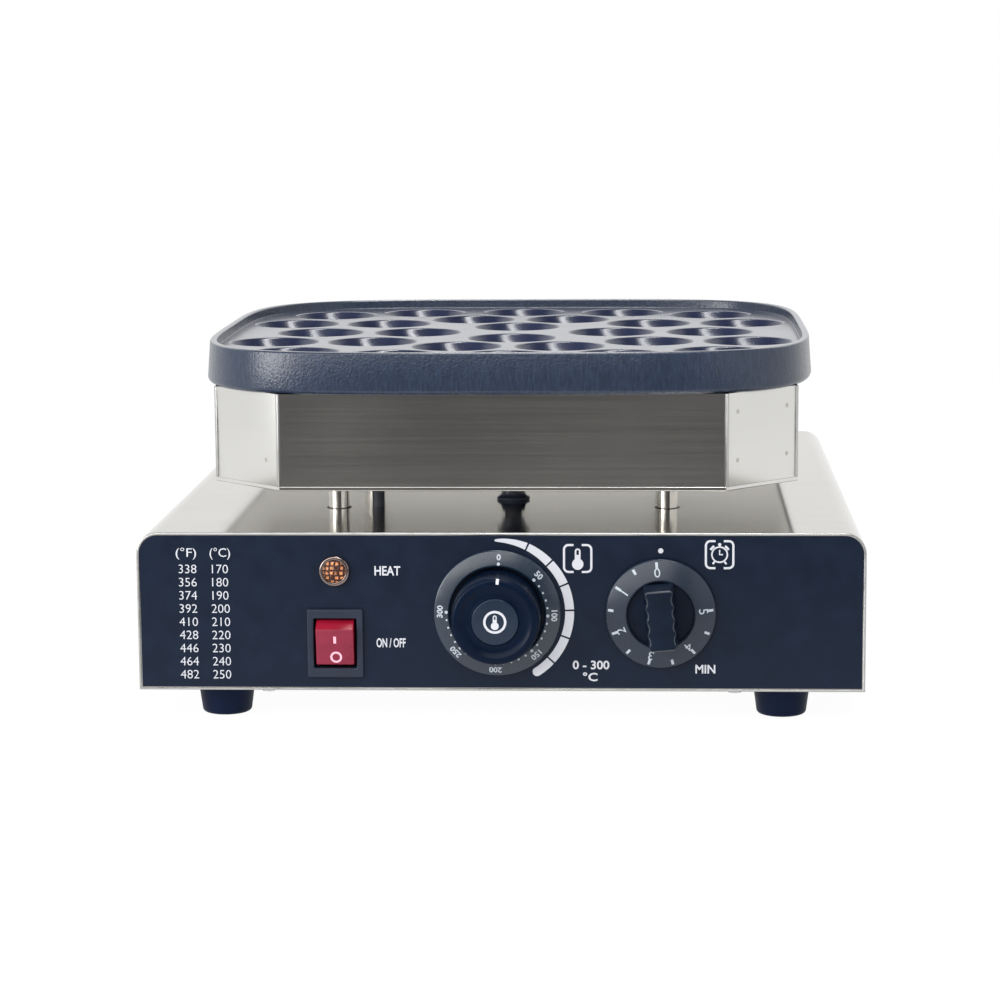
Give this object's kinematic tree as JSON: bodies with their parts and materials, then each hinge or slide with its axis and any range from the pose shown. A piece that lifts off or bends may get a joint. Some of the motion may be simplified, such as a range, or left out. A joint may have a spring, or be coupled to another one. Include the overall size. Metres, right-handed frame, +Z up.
{
  "type": "electric pancake baker",
  "caption": "Countertop electric baker: a cast plate of round pancake cups on a chamfered steel head, raised on posts above a steel base with switch, pilot light, thermostat and timer.",
  "frame": {"origin": "on the table, under the middle of the whole object", "axes": "+Z up, front panel with the controls towards -Y, +X to the right as seen from the front"},
  "size_m": [0.338, 0.402, 0.171],
  "materials": {
    "base_steel": "brushed, half mirror",
    "overlay_print": "satin navy film with white print",
    "foot_rubber": "matte moulded rubber",
    "zinc_fasteners": "bright zinc",
    "black_plastic": "fine moulded grain",
    "post_steel": "turned and polished",
    "grommet_rubber": "smooth black rubber",
    "head_steel": "brushed, half mirror",
    "insulation_wool": "mineral wool felt",
    "plate_coating": "non-stick coated casting",
    "element_steel": "heat tinted steel",
    "white_ceramic": "glazed ceramic",
    "copper_tube": "drawn copper",
    "rocker_red": "clear red moulding",
    "pilot_copper": "copper plated",
    "pilot_amber": "faceted amber lens",
    "dial_grey": "satin moulded grey",
    "knob_black": "satin moulded black",
    "wire_cover": "glass braid over silicone"
  },
  "bodies": {
    "chassis": {"base_cover": "base_steel", "front_panel": "base_steel", "rear_panel": "base_steel", "bottom_plate": "base_steel", "panel_overlay": "overlay_print", "rubber_foot_front_left": "foot_rubber", "rubber_foot_front_right": "foot_rubber", "rubber_foot_rear_left": "foot_rubber", "rubber_foot_rear_right": "foot_rubber", "foot_screws": "zinc_fasteners", "panel_screws": "zinc_fasteners", "post_nuts": "zinc_fasteners", "plate_screws": "zinc_fasteners", "clamp_studs": "zinc_fasteners", "clamp_nuts": "zinc_fasteners", "control_screws": "zinc_fasteners", "heater_clamps": "zinc_fasteners", "switch_terminals": "zinc_fasteners", "cord_gland": "black_plastic", "gland_cap": "black_plastic", "gland_nut": "black_plastic", "switch_housing": "black_plastic", "pilot_body": "black_plastic", "support_post_front_left": "post_steel", "support_post_front_right": "post_steel", "support_post_rear_left": "post_steel", "support_post_rear_right": "post_steel", "lower_grommet": "grommet_rubber", "upper_grommet": "grommet_rubber", "wire_conduit": "grommet_rubber", "capillary_sleeve": "grommet_rubber", "head_bottom": "head_steel", "head_front_wall": "head_steel", "head_rear_wall": "head_steel", "head_left_wall": "head_steel", "head_right_wall": "head_steel", "head_corner_front_left": "head_steel", "head_corner_front_right": "head_steel", "head_corner_rear_left": "head_steel", "head_corner_rear_right": "head_steel", "reflector_plate": "head_steel", "insulation_pad": "insulation_wool", "baking_plate": "plate_coating", "heating_element_front": "element_steel", "heating_element_rear": "element_steel", "timer_body": "element_steel", "heater_insulators": "white_ceramic", "terminal_block": "white_ceramic", "thermostat_body": "white_ceramic", "thermostat_bulb": "copper_tube", "capillary_tube": "copper_tube", "pilot_bezel": "pilot_copper", "pilot_lens": "pilot_amber", "temperature_dial_ring": "dial_grey", "heater_leads": "wire_cover"},
    "temperature_dial": {"temperature_knob": "knob_black", "thermostat_shaft": "post_steel"},
    "timer_dial": {"timer_knob": "dial_grey", "timer_shaft": "post_steel"},
    "switch_rocker": {"power_rocker": "rocker_red"}
  },
  "joints": [
    {"name": "temperature_turn", "type": "hinge", "parent": "chassis", "child": "temperature_dial", "pos_m": [-0.001, -0.177, 0.05275], "axis": [0, 1, 0], "range_deg": [0, 270]},
    {"name": "timer_turn", "type": "hinge", "parent": "chassis", "child": "timer_dial", "pos_m": [0.0745, -0.177, 0.05275], "axis": [0, 1, 0], "range_deg": [0, 270]},
    {"name": "rocker_tip", "type": "hinge", "parent": "chassis", "child": "switch_rocker", "pos_m": [-0.0765, -0.173, 0.03815], "axis": [-1, 0, 0], "range_deg": [0, 20]}
  ]
}
